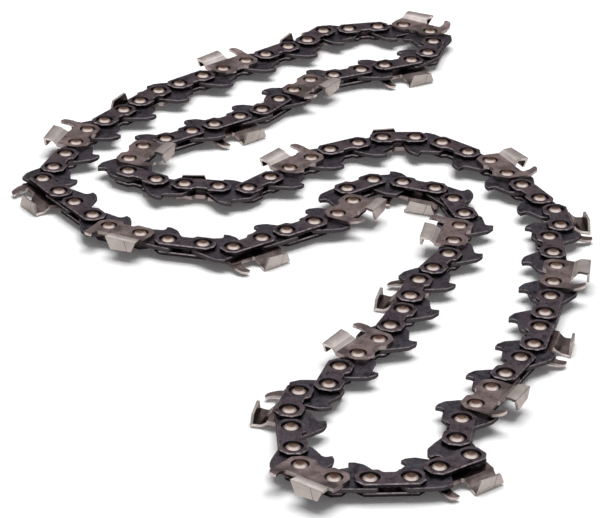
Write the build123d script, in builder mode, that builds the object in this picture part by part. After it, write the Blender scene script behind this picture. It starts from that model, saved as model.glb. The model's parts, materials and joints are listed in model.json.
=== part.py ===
"""A saw chain riveted into a closed loop, lying on its side as it was dropped on a table.

Drive links and pairs of outer plates take turns round the loop. An outer pair is two tie straps, or a
cutter facing a tie strap. Every rivet stands upright, the tangs point into the loop and the cutters out.
"""
import math
import os

from build123d import *

# Rivet spacing, in millimetres: a drive link and an outer pair together are two pitches of 3/8 inch
drive_spacing = 8.85
outer_spacing = 10.2

# Plate thicknesses across the chain, and the play between neighbouring plates
gauge = 1.3
strap_thickness = 1.2
side_play = 0.05
cutting_half_width = 3.5

# Tie strap: straight on the cutters' side, waisted on the bar's side, with faceted ends
strap_end_reach = 3.7
strap_end_flat = 3.0
strap_corner_reach = 1.6
strap_back_edge = 3.6
strap_foot_edge = 3.8
strap_foot_reach = 0.4
waist_edge = 2.4

# Drive link: two round ends, a hooked tang, and on every second link a ramped bumper
drive_end_reach = 4.0
drive_back_edge = 3.7
drive_back_reach = 1.8
bumper_height = 7.0
bumper_flat = 4.2
bumper_foot_reach = 3.0
bumper_foot_edge = 2.9
tang_depth = 9.4
tang_tip_width = 1.6
tang_belly_depth = 6.4
tang_belly_reach = 0.8
tang_heel_drop = 1.6
hook_depth = 6.8
hook_width = 0.6
shoulder_depth = 5.2
shoulder_reach = 1.2

# Cutter: a side plate, a plate flared out and folded over the chain, and a leaning depth gauge
flare_edge = 4.8
flare_width = 2.3
cutter_height = 9.8
cutter_wall = 1.0
heel_reach = 3.75
top_plate_width = 4.0
top_plate_tail = 3.1
top_plate_length = 10.4
cutting_edge_set = 2.1
tail_edge_set = 1.2
depth_gauge_reach = 0.7
depth_gauge_width = 3.5
depth_gauge_height = 9.0
depth_gauge_slope = 1.9
depth_gauge_lean = 1.2

# Rivets: faceted heads, and a round hub where two runs of the chain turn on each other
head_radius = 2.4
head_height = 0.7
head_slope = 40
head_sides = 5
hub_radius = 2.0
hub_play = 0.05

# The lay of the loop: where it bends, seen from above, in pitches and in the order of travel.
# The two strands in front are equal and parallel, foot to head, so that the front can swing.
lay_hinges = {"left_foot": (-0.2, -11), "right_foot": (3.6, -11.8), "foot_to_head": (3.5, 10)}
left_bends = [(-0.3, -9), (-0.1, -8), (0.7, -7.6), (1, -6.5), (2.1, -4.8), (2.8, -2.9)]
rear_bends = [
    (4.2, 0.7), (4.8, 3.6), (4.6, 4.5), (4, 5.4), (2.9, 5.8), (2, 5.9), (1.2, 5.2), (1.4, 4.2),
    (0.9, 3.3), (-2.2, 0.8), (-4.2, 1.2), (-6, 2), (-8.3, 5.2), (-7.2, 9.1), (-5.1, 12.5),
    (-0.2, 17.4), (0.3, 18.3), (3.1, 19.1), (4.1, 18.6), (4.2, 17.6), (4, 16.6), (3.5, 15.9),
    (0, 13.9), (-1.6, 11.2), (-5.3, 8), (-5.7, 7), (-5.8, 6.1), (-4.9, 5.5), (-3.9, 5.2), (-1.9, 5),
    (0.6, 8.1), (2.3, 9.2), (3.4, 9.3), (4.2, 9), (5.7, 7.7), (7.6, 4.1), (7.7, 3), (7.3, 2.2),
    (7.4, 0.2),
]
right_bends = [(6.4, -4.8), (4.3, -9.2), (4.1, -10.3), (4.4, -11.1)]
front_bends = [(2.8, -12.4), (0.8, -12.5), (0, -11.9)]

# The four runs that turn on one another, in the order of travel, by their number of outer pairs.
# The two strands begin and end with an outer pair, and the other runs with a drive link.
outer_pairs = {"left": 6, "rear": 42, "right": 6, "front": 2}
strands = ["left", "right"]
pair_kinds = ["tie", "left_cutter", "tie", "right_cutter"]

# Heights above the table: the chain lies on the flat outer faces of its lower cutters
middle = cutting_half_width
drive_bottom = middle - gauge / 2
strap_bottom = middle + gauge / 2 + side_play
strap_top = strap_bottom + strap_thickness
lower_strap_bottom = 2 * middle - strap_top


def tie_strap_outline():
    rivet = outer_spacing / 2
    front_end = [
        (rivet + strap_corner_reach, strap_back_edge),
        (rivet + strap_end_reach, strap_end_flat / 2),
        (rivet + strap_end_reach, -strap_end_flat / 2),
        (rivet + strap_foot_reach, -strap_foot_edge),
    ]
    rear_end = [(-x, y) for x, y in reversed(front_end)]
    return front_end + [(0, -waist_edge)] + rear_end


def drive_link_outline(has_bumper):
    rivet = drive_spacing / 2
    plain_back = [
        (rivet + drive_back_reach, drive_back_edge),
        (-rivet - drive_back_reach, drive_back_edge),
    ]
    bumper_back = [
        (rivet + bumper_foot_reach, bumper_foot_edge),
        (bumper_flat - rivet, bumper_height),
        (-rivet, bumper_height),
    ]
    tang = [
        (-rivet - drive_end_reach, -tang_heel_drop),
        (-rivet - tang_belly_reach, -tang_belly_depth),
        (-tang_tip_width, -tang_depth),
        (0, -tang_depth),
        (hook_width, -hook_depth),
        (rivet + shoulder_reach, -shoulder_depth),
        (rivet + drive_end_reach, 0),
    ]
    return (bumper_back if has_bumper else plain_back) + tang


def side_plate_outline():
    rivet = outer_spacing / 2
    return [
        (rivet + depth_gauge_reach + depth_gauge_width, flare_edge),
        (-rivet - top_plate_tail + tail_edge_set / 2, flare_edge),
        (-rivet - heel_reach, 0),
        (-rivet - strap_foot_reach, -strap_foot_edge),
        (0, -waist_edge),
        (rivet + strap_foot_reach, -strap_foot_edge),
        (rivet + strap_end_reach, -strap_end_flat / 2),
    ]


def top_plate_section():
    """Across the chain: out along the flare, flat to the outer corner, and down over the chain."""
    plate_under = 2 * middle - cutter_wall
    return [
        (flare_edge, strap_bottom),
        (flare_edge, strap_top),
        (flare_edge + flare_width, 2 * middle),
        (cutter_height, 2 * middle),
        (cutter_height, 2 * middle - top_plate_width),
        (cutter_height - cutter_wall, 2 * middle - top_plate_width),
        (cutter_height - cutter_wall, plate_under),
        (flare_edge + flare_width + cutter_wall / 2, plate_under),
    ]


def top_plate_face():
    """Along the chain and up: the cutting edge and the tail both lean in from the outer corner."""
    tail = -outer_spacing / 2 - top_plate_tail
    front = tail + top_plate_length
    return [
        (front, 2 * middle),
        (tail, 2 * middle),
        (tail + tail_edge_set, 2 * middle - top_plate_width),
        (front - cutting_edge_set, 2 * middle - top_plate_width),
    ]


def depth_gauge_outline():
    """On the leaning face of the gauge, from its root in the side plate, with the rear corner sloped off."""
    rear = outer_spacing / 2 + depth_gauge_reach
    front = rear + depth_gauge_width
    root = -cutter_wall / 2
    tip = math.hypot(depth_gauge_height - flare_edge, depth_gauge_lean)
    return [
        (rear, root),
        (front, root),
        (front, tip),
        (rear + depth_gauge_slope, tip),
        (rear, tip - depth_gauge_slope),
    ]


def next_rivet(path, leg, here, reach):
    """The point of a broken line that lies one link's reach ahead of a rivet, and the leg that it is on."""
    while leg + 2 < len(path) and (path[leg + 1] - here).length < reach:
        leg += 1
    along = (path[leg + 1] - path[leg]).normalized()
    abeam = (here - path[leg]).dot(along)
    aside = (here - path[leg] - along * abeam).length
    return leg, path[leg] + along * (abeam + math.sqrt(max(reach**2 - aside**2, 0)))


def lay_run(start, end, bends, reaches):
    """Rivets of one run from its first hinge up to the next, bowed just enough to take all its links."""
    along = (end - start).normalized()
    across = along.rotate(Axis.Z, 90)
    least_bow, most_bow = 0.5, 1.5
    for _ in range(50):
        bow = (least_bow + most_bow) / 2
        bowed = [
            start + along * (bend - start).dot(along) + across * (bend - start).dot(across) * bow
            for bend in bends
        ]
        path = [start, *bowed, end]
        rivets, leg = [start], 0
        for reach in reaches[:-1]:
            leg, rivet = next_rivet(path, leg, rivets[-1], reach)
            rivets.append(rivet)
        last = end - rivets[-1]
        if last.length > reaches[-1] and last.dot(end - path[-2]) > 0:
            most_bow = bow
        else:
            least_bow = bow
    return rivets


def on_table(point):
    """A point of the lay in millimetres: the pitch is half of a drive link and an outer pair."""
    return Vector(*point) * ((drive_spacing + outer_spacing) / 2)


def lay_loop():
    """All rivets in the order of travel, from the foot of the left strand."""
    left_foot, right_foot, foot_to_head = [on_table(point) for point in lay_hinges.values()]
    hinges = [left_foot, left_foot + foot_to_head, right_foot + foot_to_head, right_foot, left_foot]
    bends = {"left": left_bends, "rear": rear_bends, "right": right_bends, "front": front_bends}
    rivets = []
    for (run, pairs), start, end in zip(outer_pairs.items(), hinges, hinges[1:]):
        if run in strands:
            reaches = [outer_spacing, drive_spacing] * (pairs - 1) + [outer_spacing]
        else:
            reaches = [drive_spacing, outer_spacing] * pairs + [drive_spacing]
        rivets += lay_run(start, end, [on_table(bend) for bend in bends[run]], reaches)
    return rivets


def link_places(rivets):
    """The middle and heading of every link, outer pairs and drive links by turns."""
    places = []
    for here, there in zip(rivets, rivets[1:] + rivets[:1]):
        heading = math.degrees(math.atan2(there.Y - here.Y, there.X - here.X))
        places.append(Location((here + there) * 0.5, (0, 0, heading)))
    return places


def reach_box(places, outline):
    """The box in plan of one outline at every place, as its lowest and highest corners."""
    corners = [
        place.position + Vector(*point).rotate(Axis.Z, place.orientation.Z)
        for place in places
        for point in outline
    ]
    low = Vector(min(corner.X for corner in corners), min(corner.Y for corner in corners))
    return low, Vector(max(corner.X for corner in corners), max(corner.Y for corner in corners))


def centred(rivets):
    """The rivets moved so that the middle of the whole loop's plan, cutters included, is the origin."""
    places = link_places(rivets)
    cutter_corners = side_plate_outline() + [
        (-outer_spacing / 2 - top_plate_tail, cutter_height),
        (-outer_spacing / 2 - top_plate_tail + top_plate_length, cutter_height),
        (outer_spacing / 2 + depth_gauge_reach + depth_gauge_width, depth_gauge_height),
    ]
    boxes = [
        reach_box(places[0::2], tie_strap_outline()),
        reach_box(places[2::4], cutter_corners),
        reach_box(places[1::4], drive_link_outline(False)),
        reach_box(places[3::4], drive_link_outline(True)),
    ]
    low = Vector(min(box[0].X for box in boxes), min(box[0].Y for box in boxes))
    high = Vector(max(box[1].X for box in boxes), max(box[1].Y for box in boxes))
    return [rivet - (low + high) * 0.5 for rivet in rivets]


def plates(label, outline, places, bottom, thickness, holes=()):
    """Like plates of one run, cut from one outline, with a running hole round each hub that they turn on."""
    with BuildPart() as pieces:
        with BuildSketch(Plane.XY.offset(bottom)):
            with Locations(*places):
                Polygon(*outline, align=None)
            if holes:
                with Locations(*holes):
                    Circle(hub_radius + hub_play, mode=Mode.SUBTRACT)
        extrude(amount=thickness)
    write(pieces.part, label)


def rivet_heads(label, rivets, is_upper):
    """The faceted heads of one run's rivets, on the outer faces of their plates."""
    with BuildPart() as heads:
        with BuildSketch(Plane.XY.offset(strap_top)):
            with Locations(*rivets):
                RegularPolygon(head_radius, head_sides)
        extrude(amount=head_height, taper=head_slope)
        if not is_upper:
            mirror(about=Plane.XY.offset(middle), mode=Mode.REPLACE)
    write(heads.part, label)


def cutters(label, places, is_upper):
    """The cutters of one run and one hand: those below the drive links mirror those above."""
    with BuildPart() as top_plate:
        with BuildSketch(Plane.YZ.offset(-outer_spacing / 2 - top_plate_tail)):
            Polygon(*top_plate_section(), align=None)
        extrude(amount=top_plate_length)
        with BuildSketch(Plane.XZ):
            Polygon(*top_plate_face(), align=None)
        extrude(amount=-cutter_height, mode=Mode.INTERSECT)
    gauge_face = Plane(
        origin=(0, flare_edge, strap_top),
        x_dir=(1, 0, 0),
        z_dir=(0, -depth_gauge_lean, depth_gauge_height - flare_edge),
    )
    with BuildPart() as cutter:
        with BuildSketch(Plane.XY.offset(strap_bottom)):
            Polygon(*side_plate_outline(), align=None)
        extrude(amount=strap_thickness)
        add(top_plate.part)
        with BuildSketch(gauge_face):
            Polygon(*depth_gauge_outline(), align=None)
        extrude(amount=-cutter_wall)
        if not is_upper:
            mirror(about=Plane.XY.offset(middle), mode=Mode.REPLACE)
    with BuildPart() as pieces:
        with Locations(*places):
            add(cutter.part)
    write(pieces.part, label)


def hinge_hubs(label, hinges):
    """Round hubs between the straps, on which the next run's drive links turn."""
    with BuildPart() as hubs:
        with BuildSketch(Plane.XY.offset(middle - gauge / 2 - side_play)):
            with Locations(*hinges):
                Circle(hub_radius)
        extrude(amount=gauge + 2 * side_play)
    write(hubs.part, label)


def write(piece, label):
    piece.label = label
    export_step(piece, f"parts/{label}.step")


os.makedirs("parts", exist_ok=True)
loop = centred(lay_loop())
links = link_places(loop)
first_pair = 0
for run, pairs in outer_pairs.items():
    numbers = range(first_pair, first_pair + pairs)
    first_pair += pairs
    turns_on_hubs = run not in strands
    hinges = [loop[2 * numbers[0]], loop[2 * numbers[-1] + 1]]
    kinds = {kind: [n for n in numbers if pair_kinds[n % 4] == kind] for kind in pair_kinds}
    upper_straps = [links[2 * n] for n in numbers if n not in kinds["right_cutter"]]
    lower_straps = [links[2 * n] for n in numbers if n not in kinds["left_cutter"]]
    plates(f"{run}_upper_tie_straps", tie_strap_outline(), upper_straps, strap_bottom, strap_thickness)
    plates(f"{run}_lower_tie_straps", tie_strap_outline(), lower_straps, lower_strap_bottom, strap_thickness)
    for hand, is_upper in (("right", True), ("left", False)):
        hand_places = [links[2 * n] for n in kinds[f"{hand}_cutter"]]
        if hand_places:
            cutters(f"{run}_{hand}_hand_cutters", hand_places, is_upper)
    # A run that turns on its neighbours' hubs also has the drive links at both of its ends
    followers = range(numbers[0] - 1, numbers[-1] + 1) if turns_on_hubs else numbers[:-1]
    plain = [links[2 * n + 1] for n in followers if pair_kinds[n % 4] == "tie"]
    bumper = [links[2 * n + 1] for n in followers if pair_kinds[n % 4] != "tie"]
    end_hubs = [loop[2 * numbers[0] - 1], loop[(2 * numbers[-1] + 2) % len(loop)]] if turns_on_hubs else []
    plates(f"{run}_drive_links", drive_link_outline(False), plain, drive_bottom, gauge)
    plates(f"{run}_bumper_drive_links", drive_link_outline(True), bumper, drive_bottom, gauge, end_hubs)
    rivets = [loop[i] for n in numbers for i in (2 * n, 2 * n + 1)]
    rivet_heads(f"{run}_upper_rivet_heads", rivets, True)
    rivet_heads(f"{run}_lower_rivet_heads", rivets, False)
    if not turns_on_hubs:
        hinge_hubs(f"{run}_hinge_hubs", hinges)
        for end, hinge in zip(("rear", "front") if run == "right" else ("front", "rear"), hinges):
            print(f"{run} strand's {end} hinge at {hinge.X:.4f}, {hinge.Y:.4f} mm")
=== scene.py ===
import json
import math
import random

import bmesh
import bpy
from mathutils import Matrix, Vector


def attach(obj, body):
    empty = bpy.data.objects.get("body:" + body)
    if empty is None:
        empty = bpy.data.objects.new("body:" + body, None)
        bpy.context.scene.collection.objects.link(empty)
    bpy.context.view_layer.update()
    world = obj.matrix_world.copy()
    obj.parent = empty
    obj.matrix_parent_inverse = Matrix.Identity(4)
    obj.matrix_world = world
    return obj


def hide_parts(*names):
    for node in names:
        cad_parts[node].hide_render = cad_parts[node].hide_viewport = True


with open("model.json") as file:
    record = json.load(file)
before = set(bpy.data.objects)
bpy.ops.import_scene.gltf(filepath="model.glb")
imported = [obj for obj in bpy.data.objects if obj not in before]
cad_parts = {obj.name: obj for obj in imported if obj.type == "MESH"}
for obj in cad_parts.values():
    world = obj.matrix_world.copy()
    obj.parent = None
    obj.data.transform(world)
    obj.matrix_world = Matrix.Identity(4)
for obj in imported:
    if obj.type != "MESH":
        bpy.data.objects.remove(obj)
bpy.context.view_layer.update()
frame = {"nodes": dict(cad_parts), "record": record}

MM = 0.001

# Rivet spacing of the two kinds of link, and the heights of the plates above the table, in millimetres
OUTER_SPACING = 10.2
DRIVE_SPACING = 8.85
MIDDLE = 3.5
DRIVE_HEIGHTS = (2.85, 4.15)
STRAP_HEIGHTS = (4.2, 5.4)
HUB_HEIGHTS = (2.8, 4.2)
HOLE_RADIUS = 2.42

# How far each kind of link reaches round its own middle: along the travel, then across it
REACH = {
    "tie_straps": (-8.8, 8.8, -3.8, 3.6),
    "bumper_drive_links": (-8.425, 8.425, -9.4, 7.0),
    "drive_links": (-8.425, 8.425, -9.4, 3.7),
    "hand_cutters": (-8.85, 9.3, -3.8, 9.8),
}

# How far a link may lie from its pair of rivets, its reach from the one above, and a pair from its spacing
LINK_NEAR = 6
REACH_MISS = 0.2
SPACING_MISS = 0.05

# How a face was made: rolled, punched through, its edge broken, or on the inner side of a folded plate
ROLLED, PUNCHED, BROKEN, INNER = 0.0, 0.5, 1.0, -1.0
HOLE_WALL_REACH = 2.9
FLAT_FROM, UPRIGHT_TO = 0.97, 0.1

# The cutter's blank: where the gauge begins along the travel, the foot of the rise and the end of the thick
# part across it, the tail and length of the folded plate, how wide and high it still is at its tail, and how
# near to a fold's line a corner lies on it
GAUGE_START = 4.2
RISE_FOOT = 4.75
THICK_TO = 4.8
PLATE_TAIL = -8.2
PLATE_LENGTH = 10.4
TAIL_WIDTH = 0.93
TAIL_HEIGHT = 0.76
ON_LINE = 1e-3

# Each copy of a link reads its marks from another part of the pattern
PATTERN_STEP = 20
PATTERN_PLAY = 7
SMOOTH_TO = math.radians(32)


def only(piece):
    """Selects one object and makes it the active one."""
    bpy.ops.object.select_all(action="DESELECT")
    piece.select_set(True)
    bpy.context.view_layer.objects.active = piece


def settle(piece):
    """Puts an object's place into its mesh."""
    only(piece)
    bpy.ops.object.transform_apply(location=True, rotation=True, scale=True)


def rounded(corners, steps):
    """A closed outline from corners given as x, y and radius, each rounded by a short arc."""
    points = []
    for n, (x, y, radius) in enumerate(corners):
        here = Vector((x, y))
        before = (Vector(corners[n - 1][:2]) - here).normalized()
        after = (Vector(corners[(n + 1) % len(corners)][:2]) - here).normalized()
        half = before.angle(after) / 2
        centre = here + (before + after).normalized() * (radius / math.sin(half))
        first = here + before * (radius / math.tan(half)) - centre
        last = here + after * (radius / math.tan(half)) - centre
        for step in range(steps + 1):
            points.append(centre + first.lerp(last, step / steps).normalized() * radius)
    return points


def rivet_holes(sides=16):
    """The outlines of the two holes that the rivet heads sit in."""
    turns = [math.tau * n / sides for n in range(sides)]
    return [
        [Vector((x + HOLE_RADIUS * math.cos(turn), HOLE_RADIUS * math.sin(turn))) for turn in turns]
        for x in (OUTER_SPACING / 2, -OUTER_SPACING / 2)
    ]


def flat_shape(name, outlines, height):
    """A flat filled curve with its holes, at a height above the table."""
    shape = bpy.data.curves.new(name, "CURVE")
    shape.dimensions = "2D"
    shape.fill_mode = "BOTH"
    for outline in outlines:
        spline = shape.splines.new("POLY")
        spline.points.add(len(outline) - 1)
        for point, place in zip(spline.points, outline):
            point.co = (place.x * MM, place.y * MM, 0, 1)
        spline.use_cyclic_u = True
    piece = bpy.data.objects.new(name, shape)
    bpy.context.scene.collection.objects.link(piece)
    piece.location.z = height * MM
    return piece


def made_mesh(piece):
    """A curve made a mesh in its place, its seams closed and its faces pointing outwards."""
    only(piece)
    bpy.ops.object.convert(target="MESH")
    piece = bpy.context.view_layer.objects.active
    settle(piece)
    bpy.ops.object.mode_set(mode="EDIT")
    bpy.ops.mesh.select_all(action="SELECT")
    bpy.ops.mesh.remove_doubles(threshold=1e-6)
    bpy.ops.mesh.normals_make_consistent(inside=False)
    bpy.ops.object.mode_set(mode="OBJECT")
    return piece


def punched_plate(name, outlines, bottom, top, edge):
    """A plate of even thickness with broken edges."""
    piece = flat_shape(name, outlines, (bottom + top) / 2)
    piece.data.extrude = ((top - bottom) / 2 - edge) * MM
    piece.data.bevel_depth = edge * MM
    piece.data.bevel_resolution = 0
    piece.data.offset = -edge * MM
    piece = made_mesh(piece)
    keep_making(piece)
    return piece


def keep_making(piece):
    """Keeps on every corner its own place on the blank, and on every face how it was made."""
    spot = piece.data.attributes.new("spot", "FLOAT_VECTOR", "POINT")
    for vert in piece.data.vertices:
        spot.data[vert.index].vector = vert.co / MM
    cut = piece.data.attributes.new("cut", "FLOAT", "FACE")
    rivets = [Vector((side * OUTER_SPACING / 2 * MM, 0)) for side in (-1, 1)]
    for face in piece.data.polygons:
        up = abs(face.normal.z)
        from_rivet = min((face.center.xy - rivet).length for rivet in rivets)
        if up > FLAT_FROM:
            made = ROLLED
        elif up < UPRIGHT_TO or from_rivet < HOLE_WALL_REACH * MM:
            made = PUNCHED
        else:
            made = BROKEN
        cut.data[face.index].value = made


def tie_strap():
    """A strap with eight blunt corners and a notch between its feet."""
    half = [(2.5, -3.75, 0.7), (6.9, -3.7, 0.4), (8.8, -1.7, 0.4), (8.8, 1.6, 0.4), (6.9, 3.6, 0.4)]
    other_half = [(-x, y, radius) for x, y, radius in reversed(half)]
    corners = [(1.5, -2.45, 0.8), *half, *other_half, (-1.5, -2.45, 0.8)]
    return punched_plate("tie_strap", [rounded(corners, steps=2), *rivet_holes()], *STRAP_HEIGHTS, edge=0.27)


def drive_link(has_bumper):
    """A drive link with a hooked tang, and a plain back or a ramped bumper."""
    back = [(6.2, 3.7, 1.2), (-6.2, 3.7, 1.2)]
    if has_bumper:
        back = [(7.3, 2.8, 1.2), (1.6, 6.0, 2.0), (-0.4, 6.9, 1.0), (-3.4, 7.0, 0.6), (-5.0, 4.4, 1.5)]
    tang = [
        (-8.4, -1.6, 1.5),
        (-5.8, -5.5, 2.5),
        (-3.6, -8.35, 2.5),
        (-1.2, -9.35, 0.8),
        (0.4, -9.2, 0.12),
        (0.1, -6.95, 1.1),
        (5.4, -5.2, 1.4),
        (8.4, 0.0, 1.8),
    ]
    return punched_plate("drive_link", [rounded(back + tang, steps=3)], *DRIVE_HEIGHTS, edge=0.22)


def rivet_head():
    """A spun head: a sunk ring round its foot and a low dome, as rings of a radius at a height."""
    rings = [(2.5, 4.95), (1.86, 5.05), (1.38, 5.58), (0.68, 5.83)]
    foot_radius, foot_height = rings[0]
    bpy.ops.object.select_all(action="DESELECT")
    bpy.ops.mesh.primitive_circle_add(
        vertices=14, radius=foot_radius * MM, fill_type="NGON", location=(0, 0, foot_height * MM)
    )
    head = bpy.context.view_layer.objects.active
    settle(head)
    bpy.ops.object.mode_set(mode="EDIT")
    bpy.ops.mesh.select_all(action="SELECT")
    for (radius, height), (next_radius, next_height) in zip(rings, rings[1:]):
        rise = (0, 0, (next_height - height) * MM)
        bpy.ops.mesh.extrude_region_move(TRANSFORM_OT_translate={"value": rise})
        bpy.ops.transform.resize(value=(next_radius / radius, next_radius / radius, 1))
    bpy.ops.mesh.select_all(action="SELECT")
    bpy.ops.mesh.normals_make_consistent(inside=False)
    bpy.ops.object.mode_set(mode="OBJECT")
    keep_making(head)
    return head


def hinge_hub():
    """The turned middle of a rivet that two runs turn on, with its ends eased."""
    bottom, top = HUB_HEIGHTS
    bpy.ops.object.select_all(action="DESELECT")
    bpy.ops.mesh.primitive_cylinder_add(
        vertices=24, radius=2.0 * MM, depth=(top - bottom) * MM, location=(0, 0, MIDDLE * MM)
    )
    hub = bpy.context.view_layer.objects.active
    settle(hub)
    ease = hub.modifiers.new("eased_ends", "BEVEL")
    ease.width = 0.12 * MM
    ease.segments = 2
    ease.limit_method = "ANGLE"
    bpy.ops.object.modifier_apply(modifier=ease.name)
    keep_making(hub)
    return hub


def fold(piece, line, angle, is_wanted):
    """Turns what lies beyond a line across a blank, and is wanted by its place along it, by an angle."""
    hinge = (0, line * MM, STRAP_HEIGHTS[1] * MM)
    shape = bmesh.from_edit_mesh(piece.data)
    bpy.ops.mesh.select_all(action="DESELECT")
    for vert in shape.verts:
        is_beyond = vert.co.y > (line + ON_LINE) * MM
        vert.select_set(is_beyond and is_wanted(vert.co.x / MM))
    shape.select_flush(True)
    bmesh.update_edit_mesh(piece.data)
    bpy.ops.transform.rotate(value=math.radians(angle), orient_axis="X", center_override=hinge)


def cutter_blank():
    """The flat blank of a cutter: side plate, depth gauge like a hooked fin, and top plate."""
    corners = [
        (1.5, -2.45, 0.8),
        (2.5, -3.75, 0.7),
        (6.6, -3.75, 1.6),
        (8.8, -1.4, 1.4),
        (9.0, 3.0, 2.0),
        (9.2, 6.2, 2.0),
        (8.3, 8.9, 1.8),
        (6.8, 9.25, 0.6),
        (5.8, 9.2, 0.3),
        (6.45, 7.0, 1.0),
        (6.2, 4.55, 0.8),
        (1.3, 4.55, 0.8),
        (0.4, 6.6, 0.6),
        (1.2, 10.2, 0.2),
        (-0.5, 14.05, 0.05),
        (-7.0, 14.05, 0.05),
        (-8.2, 10.2, 0.2),
        (-8.1, 6.2, 0.8),
        (-8.85, 1.6, 1.5),
        (-8.85, -1.5, 1.0),
        (-7.2, -3.6, 1.0),
        (-2.5, -3.75, 0.7),
        (-1.5, -2.45, 0.8),
    ]
    return made_mesh(flat_shape("cutter", [rounded(corners, steps=3), *rivet_holes()], STRAP_HEIGHTS[1]))


def cutter():
    """One folded blank: side plate, flared and folded top plate, and leaning depth gauge."""
    blank = cutter_blank()
    # Each fold is a line across the blank and an angle: at the plate's edge, and up and down its rise
    edge_folds = [(10.35, 30), (10.2, 30), (10.05, 30)]
    rise_folds = [(7.63, 14), (7.03, 14), (6.43, 14), (4.95, -21), (RISE_FOOT, -21)]
    plate_folds = edge_folds + rise_folds
    gauge_folds = [(5.4, -6), (5.0, -6)]
    bpy.ops.object.mode_set(mode="EDIT")
    for line, _ in plate_folds + gauge_folds:
        bpy.ops.mesh.select_all(action="SELECT")
        bpy.ops.mesh.bisect(plane_co=(0, line * MM, 0), plane_no=(0, 1, 0))
    bpy.ops.object.mode_set(mode="OBJECT")
    keep_making(blank)
    thick = blank.vertex_groups.new(name="full_thickness")
    thick.add([vert.index for vert in blank.data.vertices if vert.co.y < THICK_TO * MM], 1.0, "REPLACE")
    bpy.ops.object.mode_set(mode="EDIT")
    for line, angle in plate_folds:
        fold(blank, line, angle, lambda x: x < GAUGE_START)
    for line, angle in gauge_folds:
        fold(blank, line, angle, lambda x: x > GAUGE_START)
    bpy.ops.object.mode_set(mode="OBJECT")
    # The folded plate draws in towards its tail, for clearance behind the cutting edge
    top = STRAP_HEIGHTS[1]
    for vert in blank.data.vertices:
        x, y, z = (value / MM for value in vert.co)
        if x < GAUGE_START and y > RISE_FOOT:
            ahead = min(max((x - PLATE_TAIL) / PLATE_LENGTH, 0), 1)
            vert.co.y = (RISE_FOOT + (y - RISE_FOOT) * (TAIL_WIDTH + (1 - TAIL_WIDTH) * ahead)) * MM
            vert.co.z = (top + (z - top) * (TAIL_HEIGHT + (1 - TAIL_HEIGHT) * ahead)) * MM
    # The modifiers mark their new faces by material, which then becomes how each face was made
    names, makings = ["rolled", "punched", "broken", "inner"], [ROLLED, PUNCHED, BROKEN, INNER]
    for name in names:
        blank.data.materials.append(bpy.data.materials.new(name))
    wall = blank.modifiers.new("wall", "SOLIDIFY")
    wall.thickness = (STRAP_HEIGHTS[1] - STRAP_HEIGHTS[0]) * MM
    wall.offset = -1
    wall.vertex_group = thick.name
    wall.thickness_vertex_group = 0.6
    wall.material_offset_rim = names.index("punched")
    wall.material_offset = names.index("inner")
    bpy.ops.object.modifier_apply(modifier=wall.name)
    edge = blank.modifiers.new("broken_edge", "BEVEL")
    edge.width = 0.22 * MM
    edge.segments = 1
    edge.limit_method = "ANGLE"
    edge.angle_limit = math.radians(60)
    edge.material = names.index("broken")
    bpy.ops.object.modifier_apply(modifier=edge.name)
    cut = blank.data.attributes["cut"]
    for face in blank.data.polygons:
        cut.data[face.index].value = makings[face.material_index]
        face.material_index = 0
    return blank


def solids_of(node):
    """The separate solids of a CAD node, always in one order, each as its corners in millimetres."""
    shape = bmesh.new()
    shape.from_mesh(frame["nodes"][node].data)
    bmesh.ops.remove_doubles(shape, verts=shape.verts, dist=1e-5)
    taken, solids = set(), []
    for start in shape.verts:
        if start in taken:
            continue
        taken.add(start)
        waiting, solid = [start], []
        while waiting:
            vert = waiting.pop()
            solid.append(vert.co / MM)
            for other in [joined.other_vert(vert) for joined in vert.link_edges]:
                if other not in taken:
                    taken.add(other)
                    waiting.append(other)
        solids.append(solid)
    shape.free()
    return solids


def middle_of(solid):
    return sum(solid, Vector()) / len(solid)


def link_place(solid, pairs, reach):
    """Where a link lies: the pair of rivets about which its corners reach as far as they should."""
    best = None
    for here, there in pairs:
        middle = (here + there) / 2
        if (middle - middle_of(solid)).xy.length > LINK_NEAR:
            continue
        along = (there - here).xy.normalized()
        for x_axis in (along, -along):
            y_axis = Vector((-x_axis.y, x_axis.x))
            xs = [(corner - middle).xy.dot(x_axis) for corner in solid]
            ys = [(corner - middle).xy.dot(y_axis) for corner in solid]
            found = (min(xs), max(xs), min(ys), max(ys))
            miss = sum(abs(a - b) for a, b in zip(found, reach))
            if best is None or miss < best[0]:
                best = (miss, middle, x_axis)
    miss, middle, x_axis = best
    if miss > REACH_MISS:
        raise ValueError(f"a link lies {miss:.2f} mm off its rivets")
    turn = Matrix.Rotation(math.atan2(x_axis.y, x_axis.x), 4, "Z")
    return Matrix.Translation((middle.x * MM, middle.y * MM, 0)) @ turn


def rivet_pairs(spacing):
    """Every two rivets of the loop that lie a given spacing apart."""
    rivets = []
    for node in frame["nodes"]:
        if node.endswith("upper_rivet_heads"):
            rivets += [Vector((*middle_of(solid).xy, 0)) for solid in solids_of(node)]
    pairs = [(a, b) for n, a in enumerate(rivets) for b in rivets[:n]]
    return [(a, b) for a, b in pairs if abs((a - b).length - spacing) < SPACING_MISS]


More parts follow.
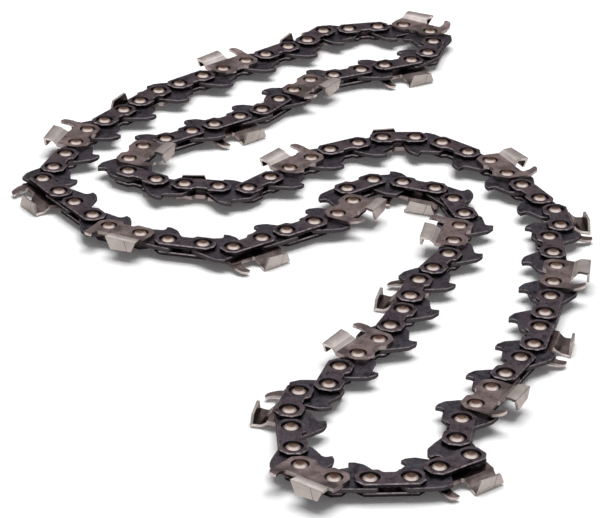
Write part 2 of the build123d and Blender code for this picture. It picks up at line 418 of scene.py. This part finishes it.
def lay_pieces(node, model, places, is_lower, finish, body):
    """Copies of one model at every place of a CAD node, joined into the piece that stands for it."""
    turned_over = Matrix.Translation((0, 0, 2 * MIDDLE * MM)) @ Matrix.Scale(-1, 4, (0, 0, 1))
    copies = []
    for number, place in enumerate(places):
        piece = model.copy()
        piece.data = model.data.copy()
        bpy.context.scene.collection.objects.link(piece)
        if is_lower:
            piece.data.transform(turned_over)
            piece.data.flip_normals()
        piece.data.transform(place)
        shift = Vector((0, 0, PATTERN_STEP * number + random.random() * PATTERN_PLAY))
        for point in piece.data.attributes["spot"].data:
            point.vector = point.vector + shift
        copies.append(piece)
    bpy.ops.object.select_all(action="DESELECT")
    for piece in copies:
        piece.select_set(True)
    bpy.context.view_layer.objects.active = copies[0]
    if len(copies) > 1:
        bpy.ops.object.join()
    piece = copies[0]
    piece.name = node + "_finished"
    piece.data.name = piece.name
    only(piece)
    bpy.ops.object.shade_smooth_by_angle(angle=SMOOTH_TO)
    piece.data.materials.clear()
    piece.data.materials.append(finish)
    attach(piece, body)
    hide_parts(node)


class Nodes:
    """A tree of nodes, each added with its links in one call."""

    def __init__(self, tree):
        self.tree = tree

    def add(self, kind, inputs=(), **settings):
        node = self.tree.nodes.new(kind)
        for name, value in settings.items():
            setattr(node, name, value)
        for socket, value in dict(inputs).items():
            self.join(value, node.inputs[socket])
        return node

    def join(self, value, socket):
        if isinstance(value, bpy.types.NodeSocket):
            self.tree.links.new(value, socket)
        else:
            socket.default_value = value

    def attribute(self, name, output):
        return self.add("ShaderNodeAttribute", attribute_name=name).outputs[output]

    def noise(self, vector, scale, detail=3.0, roughness=0.55):
        inputs = {"Vector": vector, "Scale": scale, "Detail": detail, "Roughness": roughness}
        return self.add("ShaderNodeTexNoise", inputs).outputs["Fac"]

    def ramp(self, value, low, high, bottom=0.0, top=1.0):
        inputs = {"Value": value, "From Min": low, "From Max": high, "To Min": bottom, "To Max": top}
        return self.add("ShaderNodeMapRange", inputs).outputs["Result"]

    def maths(self, operation, *values):
        return self.add("ShaderNodeMath", dict(enumerate(values)), operation=operation).outputs[0]

    def times(self, first, second):
        return self.maths("MULTIPLY", first, second)

    def distance(self, value, place):
        return self.maths("ABSOLUTE", self.maths("SUBTRACT", value, place))

    def length(self, vector):
        return self.add("ShaderNodeVectorMath", {0: vector}, operation="LENGTH").outputs["Value"]

    def blend(self, share, first, second):
        node = self.add("ShaderNodeMix", data_type="RGBA")
        self.join(share, node.inputs["Factor"])
        self.join(first, node.inputs[6])
        self.join(second, node.inputs[7])
        return node.outputs[2]

    def lay(self, first, second, mark, low, high, most=1.0):
        """A second colour over a first, from none where a mark is low to the most where it is high."""
        return self.blend(self.ramp(mark, low, high, 0.0, most), first, second)

    def bump(self, height, strength, distance):
        inputs = {"Height": height, "Strength": strength, "Distance": distance}
        return self.add("ShaderNodeBump", inputs).outputs["Normal"]

    def seen(self):
        """1 for what is seen, straight or mirrored or through glass, and 0 for light on the chain."""
        path = self.add("ShaderNodeLightPath").outputs
        direct = self.maths("MAXIMUM", path["Is Camera Ray"], path["Is Glossy Ray"])
        return self.maths("MAXIMUM", direct, path["Is Transmission Ray"])


class Finish(Nodes):
    """A material round one shader."""

    def __init__(self, name):
        self.material = bpy.data.materials.new(name)
        self.material.use_nodes = True
        super().__init__(self.material.node_tree)

    def finish(self, **inputs):
        shader = self.tree.nodes["Principled BSDF"]
        for name, value in inputs.items():
            self.join(value, shader.inputs[name.replace("_", " ")])
        return self.material


def plate_marks(finish):
    """What every rolled plate shows: blotches, streaks along the rolling, grain, and each face's making."""
    spot = finish.attribute("spot", "Vector")
    along = finish.add("ShaderNodeMapping", {"Vector": spot, "Scale": (0.3, 3.2, 1.0)}).outputs["Vector"]
    return {
        "spot": spot,
        "cut": finish.attribute("cut", "Fac"),
        "blotch": finish.noise(spot, 0.24, 4.0, 0.6),
        "mottle": finish.noise(spot, 0.85, 5.0, 0.7),
        "cloud": finish.noise(spot, 0.11, 2.0),
        "streak": finish.noise(along, 0.9, 3.0, 0.6),
        "grain": finish.noise(spot, 2.6, 3.0),
    }


def blackened_steel(name, dark, light, brown, wall, rubbed_and_highlight):
    """Rolled and blackened plate: mottled and scratched dark faces, punched walls darkened partly by their
    oxide and partly by painted shade, and broken edges lightened partly by wear and partly by a painted
    highlight.
    """
    steel = Finish(name)
    marks = plate_marks(steel)
    faces = steel.lay(dark, light, marks["blotch"], 0.34, 0.66)
    faces = steel.lay(faces, brown, marks["cloud"], 0.46, 0.64, 0.8)
    faces = steel.lay(faces, light, marks["mottle"], 0.42, 0.62, 0.6)
    faces = steel.lay(faces, dark, marks["mottle"], 0.44, 0.3, 0.8)
    faces = steel.lay(faces, light, marks["streak"], 0.52, 0.7, 0.5)
    faces = steel.lay(faces, rubbed_and_highlight, marks["grain"], 0.64, 0.74, 0.6)
    faces = steel.lay(faces, rubbed_and_highlight, marks["streak"], 0.6, 0.74, 0.32)
    # Punched walls take the wall colour: partly the dark oxide of a punched edge, partly painted shade
    walls = steel.lay(faces, wall, marks["cut"], 0.2, 0.4)
    # Broken edges are lightened partly by wear and partly by a painted highlight
    worn_and_highlit = steel.times(steel.ramp(marks["cut"], 0.6, 0.9), steel.ramp(marks["mottle"], 0.36, 0.6, 0.15, 1.0))
    return steel.finish(
        Base_Color=steel.blend(worn_and_highlit, walls, rubbed_and_highlight),
        Metallic=1.0,
        Roughness=steel.ramp(marks["mottle"], 0.3, 0.7, 0.26, 0.5),
        Specular_Tint=(0.46, 0.43, 0.45, 1),
        Normal=steel.bump(marks["grain"], 0.35, 0.00008),
    )


def rivet_steel():
    """Spun rivets: painted shade, near black, in the sunk ring round the foot, a bright shoulder, and painted
    brown shade on the top of the dome.
    """
    steel = Finish("rivet_steel")
    spot = steel.attribute("spot", "Vector")
    in_plan = steel.add("ShaderNodeVectorMath", {0: spot, 1: (1, 1, 0)}, operation="MULTIPLY")
    radius = steel.length(in_plan.outputs["Vector"])
    tint = steel.noise(spot, 0.6, 3.0)
    # The top of the dome is painted darker and browner than the shoulder: painted shade
    crown_painted_shade = steel.lay((0.125, 0.073, 0.056, 1), (0.23, 0.152, 0.124, 1), tint, 0.38, 0.62)
    shoulder = steel.lay((0.68, 0.57, 0.53, 1), (0.82, 0.71, 0.67, 1), tint, 0.35, 0.65)
    # Painted shade: near black in the sunk ring round the foot
    groove_painted_shade, rim = (0.03, 0.019, 0.017, 1), (0.105, 0.082, 0.086, 1)
    colour = steel.lay(crown_painted_shade, shoulder, radius, 1.0, 1.56)
    colour = steel.lay(colour, groove_painted_shade, radius, 1.82, 1.92)
    colour = steel.lay(colour, rim, radius, 2.1, 2.24)
    return steel.finish(
        Base_Color=colour,
        Metallic=1.0,
        Roughness=steel.ramp(tint, 0.3, 0.7, 0.16, 0.28),
        Specular_Tint=(0.72, 0.58, 0.52, 1),
        Normal=steel.bump(steel.noise(spot, 3.0), 0.15, 0.00005),
    )


def cutter_chrome():
    """A cutter: brown-grey steel round the rivets, satin chrome on the folded plate with a painted highlight
    on its rise, painted shade inside the fold, and edges lightened partly by wear and partly by a painted
    highlight.
    """
    chrome = Finish("cutter_chrome")
    marks = plate_marks(chrome)
    place = chrome.add("ShaderNodeSeparateXYZ", {0: marks["spot"]})
    x, y = place.outputs["X"], place.outputs["Y"]
    steel = chrome.lay((0.22, 0.162, 0.16, 1), (0.49, 0.38, 0.374, 1), marks["blotch"], 0.32, 0.68)
    steel = chrome.lay(steel, (0.51, 0.4, 0.386, 1), marks["streak"], 0.5, 0.75, 0.5)
    steel = chrome.lay(steel, (0.088, 0.064, 0.064, 1), marks["mottle"], 0.46, 0.3, 0.7)
    steel = chrome.lay(steel, (0.085, 0.068, 0.07, 1), marks["cloud"], 0.5, 0.36, 0.7)
    plating = chrome.lay((0.315, 0.274, 0.256, 1), (0.45, 0.397, 0.373, 1), marks["cloud"], 0.35, 0.65)
    plating = chrome.lay(plating, (0.47, 0.42, 0.397, 1), marks["streak"], 0.45, 0.75, 0.45)
    rubbed_and_highlight = chrome.lay((0.62, 0.545, 0.517, 1), (0.82, 0.73, 0.7, 1), marks["blotch"], 0.35, 0.65)
    # The blank's places, in millimetres: the rise and its top carry a painted highlight, lighter than the
    # plain plating past the fold
    plating = chrome.lay(rubbed_and_highlight, plating, y, 9.7, 10.3)
    plated = chrome.times(chrome.ramp(y, 4.7, 5.1), chrome.ramp(x, 4.6, GAUGE_START))
    colour = chrome.blend(plated, steel, plating)
    # Painted highlights: a bright line along each of the two bends of the rise
    for highlit_bend in (4.85, 6.5):
        line = chrome.times(chrome.ramp(chrome.distance(y, highlit_bend), 0.2, 0.08, 0.0, 0.8), plated)
        colour = chrome.blend(line, colour, (0.9, 0.82, 0.79, 1))
    # A fine slanting line is left across the folded plate by its forming
    slant = chrome.maths("MULTIPLY_ADD", y, 0.243, x)
    line = chrome.times(chrome.ramp(chrome.distance(slant, -2.27), 0.12, 0.05), chrome.ramp(y, 10.15, 10.3))
    colour = chrome.blend(line, colour, (0.1, 0.085, 0.08, 1))
    # The inner side has painted shade inside the fold, and lighter steel under the rise
    fold_painted_shade = chrome.lay((0.01, 0.007, 0.007, 1), (0.07, 0.051, 0.048, 1), marks["blotch"], 0.4, 0.66)
    under_rise = chrome.lay((0.11, 0.084, 0.08, 1), (0.27, 0.21, 0.2, 1), marks["blotch"], 0.36, 0.64)
    inner = chrome.lay(under_rise, fold_painted_shade, y, 8.8, 10.0)
    colour = chrome.lay(colour, inner, marks["cut"], -0.3, -0.7)
    sheared = chrome.lay((0.3, 0.25, 0.24, 1), (0.6, 0.53, 0.5, 1), y, 6.0, 9.0)
    colour = chrome.lay(colour, sheared, marks["cut"], 0.2, 0.4, 0.8)
    # Broken edges are lightened partly by wear and partly by a painted highlight
    worn_and_highlit = chrome.times(chrome.ramp(marks["cut"], 0.6, 0.9), chrome.ramp(marks["grain"], 0.3, 0.6, 0.4, 1.0))
    return chrome.finish(
        Base_Color=chrome.blend(worn_and_highlit, colour, (0.78, 0.7, 0.67, 1)),
        Metallic=1.0,
        Roughness=chrome.ramp(marks["mottle"], 0.3, 0.7, 0.24, 0.4),
        Specular_Tint=(0.78, 0.72, 0.71, 1),
        Normal=chrome.bump(marks["grain"], 0.14, 0.00006),
    )


def pale_table():
    """A wide white table, bright to the eye and in reflections, that keeps the shadow of the chain."""
    bpy.ops.object.select_all(action="DESELECT")
    bpy.ops.mesh.primitive_plane_add(size=12, location=(0, 0, 0))
    table = bpy.context.view_layer.objects.active
    table.name = "pale_table"
    paper = Finish("pale_paper")
    spot = paper.add("ShaderNodeTexCoord").outputs["Object"]
    far_glow = paper.ramp(paper.length(spot), 0.3, 1.5, 0.06, 0.9)
    paper.finish(
        Base_Color=paper.blend(paper.noise(spot, 40.0), (0.94, 0.94, 0.94, 1), (0.98, 0.98, 0.98, 1)),
        Roughness=0.9,
        Specular_IOR_Level=0.0,
        Emission_Color=(1, 1, 1, 1),
        Emission_Strength=paper.times(paper.seen(), far_glow),
    )
    table.data.materials.append(paper.material)


def hang_lamp(name, place, aim, width, depth, watts):
    """A soft rectangular lamp that isn't mirrored in the steel."""
    lamp = bpy.data.lights.new(name, "AREA")
    lamp.shape = "RECTANGLE"
    lamp.size = width
    lamp.size_y = depth
    lamp.energy = watts
    softbox = bpy.data.objects.new(name, lamp)
    bpy.context.scene.collection.objects.link(softbox)
    softbox.location = place
    softbox.visible_glossy = False
    softbox.rotation_euler = (Vector(aim) - softbox.location).to_track_quat("-Z", "Y").to_euler()


def soft_light():
    """A broad lamp over and behind the chain, in a room with grey walls and a white ceiling."""
    hang_lamp("overhead_softbox", (0.055, 0.32, 1.6), aim=(0, -0.03, 0), width=1.5, depth=1.2, watts=32.0)
    fill, walls, ceiling = 0.18, 0.42, 1.0
    room = bpy.data.worlds.new("pale_room")
    room.use_nodes = True
    nodes = Nodes(room.node_tree)
    # Flat plates mirror the walls and stay dark, and the domed heads catch the ceiling
    way = nodes.add("ShaderNodeTexCoord").outputs["Generated"]
    upward = nodes.add("ShaderNodeSeparateXYZ", {0: way}).outputs["Z"]
    mirrored = nodes.ramp(upward, 0.5, 0.75, walls, ceiling)
    level = nodes.add("ShaderNodeMix", {"Factor": nodes.seen(), "A": fill, "B": mirrored}).outputs["Result"]
    sky = nodes.tree.nodes["Background"]
    nodes.join((1, 1, 1, 1), sky.inputs["Color"])
    nodes.join(level, sky.inputs["Strength"])
    bpy.context.scene.world = room


def picture_camera():
    """The camera where the picture was taken from, in metres and degrees."""
    place, downward, turn = (0.0029356, -0.768478, 0.36874), 26.22, 1.708
    scene = bpy.context.scene
    lens = bpy.data.cameras.new("picture_camera")
    lens.lens = 171.69
    lens.sensor_width = 36
    lens.sensor_fit = "HORIZONTAL"
    camera = bpy.data.objects.new("picture_camera", lens)
    scene.collection.objects.link(camera)
    tilt = Matrix.Rotation(math.radians(90 - downward), 4, "X")
    roll = Matrix.Rotation(math.radians(turn), 4, "Z")
    camera.matrix_world = Matrix.Translation(place) @ tilt @ roll
    scene.camera = camera
    scene.view_settings.view_transform = "Standard"


def chain():
    """Every CAD node's links, heads and hubs, finished and laid where the node has them."""
    outer_pairs = rivet_pairs(OUTER_SPACING)
    drive_pairs = rivet_pairs(DRIVE_SPACING)
    straps = blackened_steel(
        "blackened_straps",
        dark=(0.03, 0.025, 0.034, 1),
        light=(0.196, 0.162, 0.184, 1),
        brown=(0.232, 0.164, 0.169, 1),
        wall=(0.018, 0.015, 0.018, 1),
        rubbed_and_highlight=(0.44, 0.375, 0.39, 1),
    )
    drives = blackened_steel(
        "blued_drive_links",
        dark=(0.02, 0.0186, 0.026, 1),
        light=(0.152, 0.139, 0.164, 1),
        brown=(0.143, 0.116, 0.128, 1),
        wall=(0.055, 0.048, 0.052, 1),
        rubbed_and_highlight=(0.31, 0.27, 0.285, 1),
    )
    bright, chrome = rivet_steel(), cutter_chrome()
    models = {
        "tie_straps": (tie_strap(), outer_pairs, straps, "link_steel"),
        "bumper_drive_links": (drive_link(True), drive_pairs, drives, "link_steel"),
        "drive_links": (drive_link(False), drive_pairs, drives, "link_steel"),
        "hand_cutters": (cutter(), outer_pairs, chrome, "cutter_chrome"),
        "rivet_heads": (rivet_head(), None, bright, "rivet_steel"),
        "hinge_hubs": (hinge_hub(), None, bright, "rivet_steel"),
    }
    for body, nodes in frame["record"]["behaviour"]["bodies"].items():
        for node in nodes:
            kind = next(kind for kind in models if node.endswith(kind))
            model, pairs, finish, record_slot = models[kind]
            solids = solids_of(node)
            if pairs:
                places = [link_place(solid, pairs, REACH[kind]) for solid in solids]
            else:
                places = [Matrix.Translation((*(middle_of(solid).xy * MM), 0)) for solid in solids]
            is_lower = "_lower_" in node or "_left_hand_" in node
            lay_pieces(node, model, places, is_lower, finish, body)
    for model, *_ in models.values():
        bpy.data.objects.remove(model)


random.seed(7)
pale_table()
soft_light()
picture_camera()
chain()
